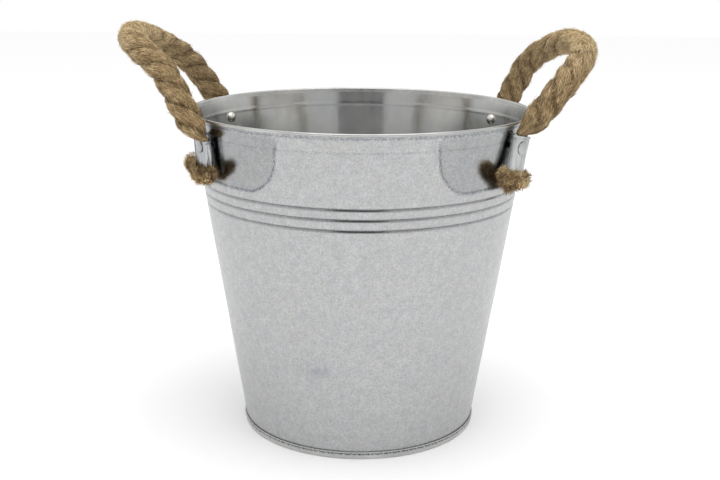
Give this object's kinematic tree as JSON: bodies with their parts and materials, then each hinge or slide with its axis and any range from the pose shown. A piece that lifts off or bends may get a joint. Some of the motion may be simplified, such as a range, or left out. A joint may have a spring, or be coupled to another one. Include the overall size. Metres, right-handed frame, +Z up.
{
  "type": "florist bucket",
  "caption": "Tapered galvanised bucket with a rolled rim, pressed rings, a folded hem foot and twisted rope loop handles held in riveted sleeves.",
  "frame": {"origin": "on the bucket's axis, on the surface that its hem stands on", "axes": "+Z up along the bucket's axis, X through the two rope handles with the right one at +X, front at -Y"},
  "size_m": [0.3302, 0.2426, 0.2899],
  "materials": {
    "galvanised_sheet": "satin galvanised sheet, mottled outside, near mirror inside",
    "sleeve_sheet": "bright galvanised strip",
    "rivet_metal": "plain rivet",
    "jute_rope": "three-strand twisted jute, hairy"
  },
  "bodies": {
    "bucket": {"bucket_wall": "galvanised_sheet", "bottom_plate": "galvanised_sheet", "right_front_sleeve": "sleeve_sheet", "right_front_rivet": "rivet_metal", "right_front_gripped_rope": "jute_rope", "right_front_rope_end": "jute_rope", "right_back_sleeve": "sleeve_sheet", "right_back_rivet": "rivet_metal", "right_back_gripped_rope": "jute_rope", "right_back_rope_end": "jute_rope", "left_front_sleeve": "sleeve_sheet", "left_front_rivet": "rivet_metal", "left_front_gripped_rope": "jute_rope", "left_front_rope_end": "jute_rope", "left_back_sleeve": "sleeve_sheet", "left_back_rivet": "rivet_metal", "left_back_gripped_rope": "jute_rope", "left_back_rope_end": "jute_rope"},
    "right_handle": {"right_rope_loop": "jute_rope"},
    "left_handle": {"left_rope_loop": "jute_rope"}
  },
  "joints": [
    {"name": "right_handle_swing", "type": "hinge", "parent": "bucket", "child": "right_handle", "pos_m": [0.1126, 0, 0.2307], "axis": [0, -1, 0], "range_deg": [-40, 42]},
    {"name": "left_handle_swing", "type": "hinge", "parent": "bucket", "child": "left_handle", "pos_m": [-0.1098, 0, 0.2276], "axis": [0, 1, 0], "range_deg": [-40, 30]}
  ]
}
